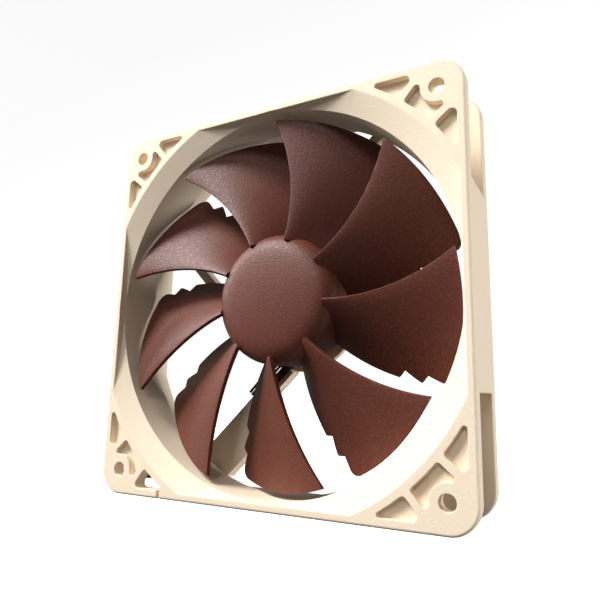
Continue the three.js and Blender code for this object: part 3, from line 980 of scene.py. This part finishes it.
def make_hub():
    hub = turned_piece("hub", [
        (0, -10.8), (3, -10.78), (6, -10.7), (9, -10.53), (12, -10.26), (14.2, -9.94),
        (15.8, -9.55), (17.1, -8.98), (18.1, -8.3), (18.9, -7.4), (19.5, -6.3), (19.85, -5.0),
        (19.9, -4.2), (19.9, 6.5), (19.75, 6.85), (19.4, 7.0), (18.5, 7.0), (18.5, -5.4),
        (16.2, -8.5), (4.9, -8.5), (4.9, -5.6), (3.5, -5.6), (3.5, -8.8), (0, -8.8),
    ], 120)
    plastic = shared("Impeller plastic", impeller_plastic)
    finished(hub, plastic, "rotor", ["impeller"], 40)


# Lead -----------------------------------------------------------------------------------


def inner_lead_route():
    """The sleeved lead in the trough, through the housing and out between the flanges."""
    places = [(14.4, 11.4, 9.7), (22, 11.4, 9.7)]
    places += [(30, 11.8, 10.1), (37, 13.4, 10.1), (44, 14.6, 10.1), (52, 15, 10.1), (58, 15, 10.1)]
    points = []
    for outwards, aside, y in places:
        x, up = strut_point(outwards, aside)
        points.append(at(x, y, up))
    points += [
        at(-36.5, 8.4, -53.9), at(-42, 7, -56), at(-48, 6.2, -56.4), at(-54, 6, -56.3),
        at(-HALF_SIDE, 6, -56.2),
    ]
    return smooth_route(points)


def make_inner_lead():
    sizes = bpy.context.scene.fan_sizes
    rubber = shared("Lead sleeve", lead_sleeve_rubber)
    sleeve = tube("lead_sleeve_skin", inner_lead_route(), sizes.sleeve_radius)
    finished(sleeve, rubber, "frame", ["lead_sleeve"])
    for number, aside in enumerate((6.9, 8.0, 9.1), 1):
        points = []
        for outwards, y in ((14.2, 9.45), (20, 9.45), (26, 9.75), (33, 10.25)):
            x, up = strut_point(outwards, aside)
            points.append(at(x, y, up))
        wire = tube(f"motor_wire_skin_{number}", smooth_route(points), 0.42 * MM, 4)
        finished(wire, rubber, "frame", [f"motor_wire_{number}"])


COIL_X, COIL_Y, COIL_RADIUS = -54.2, 26.1, 12
FIRST_LAYER, LAYER_RISE, LAYERS, PLUG_LEVEL = 1.25, 2.4, 3, 2.9
PLUG_REAR, PLUG_FRONT, PLUG_SIDE, PLUG_TOP = -56.5, -45.1, 3.95, 5.8
CONTACT_PITCH = 2.54
TIE_HALF_WIDTH = 1.4


def eased(value, start, stop):
    share = min(max((value - start) / (stop - start), 0), 1)
    return share * share * (3 - 2 * share)


def free_lead_route():
    """From the housing down, round the coil layer by layer and in to the plug.

    The heights here are above the floor.
    """
    start = [
        (-60.3, 6, 3.8), (-62, 6.1, 3.6), (-64.4, 7.5, 2.9), (-65.9, 9.9, 2.1),
        (-66.2, 13, 1.5), (-66.2, 17.4, FIRST_LAYER), (-66.2, 22, FIRST_LAYER),
        (-66.2, COIL_Y, FIRST_LAYER),
    ]
    route = smooth_route([Vector(point) * MM for point in start], 4)
    turns, steps = LAYERS - 0.2, 50 * LAYERS
    for step in range(1, steps + 1):
        turn = turns * step / steps
        radius = COIL_RADIUS - 2 * eased(turn, turns - 0.35, turns)
        climbed = sum(eased(turn, layer - 0.38, layer - 0.1) for layer in range(1, LAYERS))
        level = FIRST_LAYER + LAYER_RISE * climbed
        angle = math.pi - 2 * math.pi * turn
        x, y = COIL_X + radius * math.cos(angle), COIL_Y + radius * math.sin(angle)
        route.append(Vector((x, y, level)) * MM)
    way = (route[-1] - route[-2]).normalized()
    bend = 4.75 * MM
    middle = route[-1] + Vector((way.y, -way.x, 0)) * bend
    first = math.atan2(route[-1].y - middle.y, route[-1].x - middle.x) % (2 * math.pi)
    for step in range(1, 17):
        share = step / 16
        angle = first + (math.pi / 2 - first) * share
        place = middle + Vector((math.cos(angle), math.sin(angle), 0)) * bend
        place.z = (level + (PLUG_LEVEL - level) * eased(share, 0, 1)) * MM
        route.append(place)
    return route


def make_free_lead():
    sizes = bpy.context.scene.fan_sizes
    rubber = shared("Lead sleeve", lead_sleeve_rubber)
    route = free_lead_route()
    lead = tube("free_lead", route, sizes.lead_radius)
    finished(lead, rubber, "frame", ["lead_run", "lead_coil"])
    plug = make_plug()
    tie = make_tie()


def make_plug():
    """The three-way plug: a ribbed block with a channel and a window for each contact."""
    floor = -AXIS_HEIGHT / MM
    side = (COIL_Y - PLUG_SIDE, COIL_Y + PLUG_SIDE)
    plug = block("plug", (PLUG_REAR, PLUG_FRONT), side, (floor, floor + PLUG_TOP))
    far = (PLUG_REAR - 1, PLUG_FRONT + 1)
    middle = floor + PLUG_LEVEL
    top = floor + PLUG_TOP
    cuts = [
        block("gap", far, (side[0] - 1, side[0] + 1.3), (top - 0.8, top + 1)),
        block("gap", far, (side[0] + 2.5, side[1] - 2.5), (top - 0.8, top + 1)),
        block("gap", far, (side[1] - 1.3, side[1] + 1), (top - 0.8, top + 1)),
        block("gap", (PLUG_FRONT - 3, PLUG_FRONT + 1), side, (floor - 1, floor + 0.5)),
    ]
    combined(plug, *cuts)
    sharp_rounded(plug, 0.22, 2)
    for offset in (-CONTACT_PITCH, 0, CONTACT_PITCH):
        y = COIL_Y + offset
        channel = block("channel", far, (y - 0.85, y + 0.85), (middle - 0.85, middle + 0.85))
        window = block("window", (-52.6, -50.2), (y - 0.6, y + 0.6), (floor - 1, middle))
        combined(plug, channel, window)
    black = moulded_plastic("Plug plastic", (0.018, 0.018, 0.02), 0.42, 2600, 0.00005, 0.2)
    return finished(plug, black, "frame", ["plug_housing"])


def make_tie():
    """The band that holds the coil's turns together."""
    floor = -AXIS_HEIGHT / MM
    top = floor + FIRST_LAYER + (LAYERS - 1) * LAYER_RISE + 1.25
    low, high = COIL_X + COIL_RADIUS - 1.6, COIL_X + COIL_RADIUS + 1.5
    sides = (COIL_Y - TIE_HALF_WIDTH, COIL_Y + TIE_HALF_WIDTH)
    tie = block("lead_tie", (low, high), sides, (floor, top + 0.3))
    sharp_rounded(tie, 1.2, 6)
    hollow = block(
        "hollow", (low + 0.3, high - 0.3), (COIL_Y - 3, COIL_Y + 3), (floor + 0.05, top),
    )
    sharp_rounded(hollow, 1.1, 6)
    combined(tie, hollow)
    rubber = bpy.data.materials["Lead sleeve"]
    return finished(tie, rubber, "frame")


# Finishes of the motor's and plug's own pieces -------------------------------------------


def make_finishes():
    """Gives the motor's and the plug's own pieces their materials."""
    steel = worked_metal("Bright steel", (0.56, 0.57, 0.58), 0.28, (90, 3000, 90))
    brass = worked_metal("Turned brass", (0.62, 0.44, 0.17), 0.3, (200, 2600, 200))
    bronze = worked_metal("Sintered bronze", (0.34, 0.2, 0.09), 0.55, (1800, 1800, 1800), 0.25)
    nylon = moulded_plastic("Natural nylon", (0.68, 0.66, 0.58), 0.42, 2400, 0.00004)
    black = bpy.data.materials["Plug plastic"]
    copper = wound_copper()
    table = {
        "rotor_yoke": steel, "shaft": steel, "thrust_plate": steel, "shaft_insert": brass,
        "bearing_tube": brass, "bearing_bush": bronze, "shaft_clip": nylon, "oil_seal": nylon,
        "insulator_front": nylon, "insulator_rear": nylon, "stator_core": laminated_steel(),
        "magnet_ring": pressed_ferrite(), "circuit_board": solder_resist(),
        "hall_sensor": black, "driver_chip": black, "capacitor": black,
        "rear_label": plain_paper(),
    }
    table.update({f"winding_{number}": copper for number in (1, 2, 3, 4)})
    table.update({f"plug_contact_{number}": brass for number in (1, 2, 3)})
    for name, material in table.items():
        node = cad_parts[name]
        node.data.materials.clear()
        node.data.materials.append(material)


# Stage ----------------------------------------------------------------------------------


def soft_light(name, place, target, size, power):
    light = bpy.data.lights.new(name, "AREA")
    light.shape = "RECTANGLE"
    light.size, light.size_y = size
    light.energy = power
    lamp = bpy.data.objects.new(name, light)
    lamp.location = place
    lamp.rotation_euler = (Vector(target) - Vector(place)).to_track_quat("-Z", "Y").to_euler()
    bpy.context.collection.objects.link(lamp)


def make_camera():
    """The camera stands low, left of the intake, and looks slightly up."""
    yaw, pitch, roll = (math.radians(angle) for angle in (-27.261, 10.132, 0.771))
    forward = Vector((
        math.sin(yaw) * math.cos(pitch), math.cos(yaw) * math.cos(pitch), math.sin(pitch),
    ))
    level = Vector((math.cos(yaw), -math.sin(yaw), 0))
    above = level.cross(forward)
    right = level * math.cos(roll) + above * math.sin(roll)
    up = above * math.cos(roll) - level * math.sin(roll)
    data = bpy.data.cameras.new("Camera")
    place = (0.08545, -0.14026, 0.03197)
    data.lens = 32.01
    data.sensor_width = 36
    data.clip_start = 0.01
    data.clip_end = 20
    data.shift_x = -0.038
    data.shift_y = -0.003
    camera = bpy.data.objects.new("Camera", data)
    turn = Matrix((right, up, -forward)).transposed().to_4x4()
    camera.matrix_world = Matrix.Translation(place) @ turn
    bpy.context.collection.objects.link(camera)
    bpy.context.scene.camera = camera


def make_backdrop():
    """A white floor that sweeps up into a round wall, far from the fan."""
    bpy.ops.object.select_all(action="DESELECT")
    bpy.ops.mesh.primitive_circle_add(vertices=96, radius=4, fill_type="NGON")
    floor = added("floor")
    with edited(floor) as mesh:
        for edge in mesh.edges:
            edge.select_set(True)
        bmesh.update_edit_mesh(floor.data)
        bpy.ops.mesh.extrude_edges_move(TRANSFORM_OT_translate={"value": (0, 0, 8)})
    with edited(floor) as mesh:
        for edge in mesh.edges:
            if all(vertex.co.z < 0.1 for vertex in edge.verts):
                edge.select_set(True)
        bmesh.update_edit_mesh(floor.data)
        bpy.ops.mesh.bevel(offset=1.5, segments=12, affect="EDGES")
    pick(floor)
    bpy.ops.object.shade_smooth()
    floor.data.materials.append(backdrop_paint())
    floor.visible_diffuse = False
    floor.visible_glossy = False
    floor.visible_shadow = False


def make_stage():
    make_backdrop()
    middle = (0, 0, 0.06)
    soft_light("Key", (-0.8, -0.95, 1.4), middle, (0.6, 0.6), 51)
    soft_light("Left", (-1.3, -0.3, 0.75), middle, (0.5, 0.8), 17)
    soft_light("Front", (0.22, -1.25, 0.85), middle, (0.35, 0.35), 5)
    soft_light("Side", (1.15, 0.3, 0.0), middle, (0.6, 0.5), 12)
    world = bpy.context.scene.world or bpy.data.worlds.new("Studio")
    bpy.context.scene.world = world
    world.use_nodes = True
    background = world.node_tree.nodes["Background"]
    background.inputs["Color"].default_value = (1, 1, 1, 1)
    background.inputs["Strength"].default_value = 0.13
    bpy.context.scene.view_settings.view_transform = "Standard"
    make_camera()


# Operators and panel --------------------------------------------------------------------


class FAN_OT_stage(bpy.types.Operator):
    """Adds the floor, the lights and the camera"""

    bl_idname = "fan.stage"
    bl_label = "Add Stage"

    def execute(self, context):
        make_stage()
        return {"FINISHED"}


class FAN_OT_free_lead(bpy.types.Operator):
    """Makes the free lead, coiled behind the fan, with its plug and tie"""

    bl_idname = "fan.free_lead"
    bl_label = "Make Free Lead"

    def execute(self, context):
        make_free_lead()
        return {"FINISHED"}


class FAN_OT_inner_lead(bpy.types.Operator):
    """Makes the wires and the sleeved lead inside the housing"""

    bl_idname = "fan.inner_lead"
    bl_label = "Make Inner Lead"

    def execute(self, context):
        make_inner_lead()
        return {"FINISHED"}


class FAN_OT_housing(bpy.types.Operator):
    """Makes the square housing with its flanges, pockets and duct"""

    bl_idname = "fan.housing"
    bl_label = "Make Housing"

    def execute(self, context):
        make_housing()
        return {"FINISHED"}


class FAN_OT_motor_mount(bpy.types.Operator):
    """Makes the motor's base and the struts that carry it"""

    bl_idname = "fan.motor_mount"
    bl_label = "Make Motor Mount"

    def execute(self, context):
        make_motor_mount()
        return {"FINISHED"}


class FAN_OT_hub(bpy.types.Operator):
    """Makes the impeller's domed hub"""

    bl_idname = "fan.hub"
    bl_label = "Make Hub"

    def execute(self, context):
        make_hub()
        return {"FINISHED"}


class FAN_OT_blades(bpy.types.Operator):
    """Makes the swept blades with their notched trailing edges"""

    bl_idname = "fan.blades"
    bl_label = "Make Blades"

    def execute(self, context):
        make_blades()
        return {"FINISHED"}


class FAN_OT_finishes(bpy.types.Operator):
    """Gives the motor and plug pieces their finishes"""

    bl_idname = "fan.finishes"
    bl_label = "Finish Motor and Plug"

    def execute(self, context):
        make_finishes()
        return {"FINISHED"}


class FAN_PT_case_fan(bpy.types.Panel):
    """Lists the fan's sizes, colours and pieces"""

    bl_idname = "FAN_PT_case_fan"
    bl_label = "Case Fan"
    bl_space_type = "VIEW_3D"
    bl_region_type = "UI"
    bl_category = "Case Fan"

    def draw(self, context):
        layout = self.layout
        for group in (context.scene.fan_sizes, context.scene.fan_colours):
            column = layout.column()
            for name in group.bl_rna.properties.keys():
                if name not in {"rna_type", "name"}:
                    column.prop(group, name)
        for operator in OPERATORS:
            layout.operator(operator.bl_idname)


OPERATORS = (
    FAN_OT_stage, FAN_OT_free_lead, FAN_OT_inner_lead, FAN_OT_housing, FAN_OT_motor_mount,
    FAN_OT_hub, FAN_OT_blades, FAN_OT_finishes,
)
CLASSES = (FanSizes, FanColours, *OPERATORS, FAN_PT_case_fan)


def register():
    for item in CLASSES:
        bpy.utils.register_class(item)
    bpy.types.Scene.fan_sizes = PointerProperty(type=FanSizes)
    bpy.types.Scene.fan_colours = PointerProperty(type=FanColours)


def unregister():
    del bpy.types.Scene.fan_colours
    del bpy.types.Scene.fan_sizes
    for item in reversed(CLASSES):
        bpy.utils.unregister_class(item)


def main():
    register()
    bpy.ops.fan.stage()
    bpy.ops.fan.free_lead()
    bpy.ops.fan.inner_lead()
    bpy.ops.fan.housing()
    bpy.ops.fan.motor_mount()
    bpy.ops.fan.hub()
    bpy.ops.fan.blades()
    bpy.ops.fan.finishes()


if __name__ == "__main__":
    main()
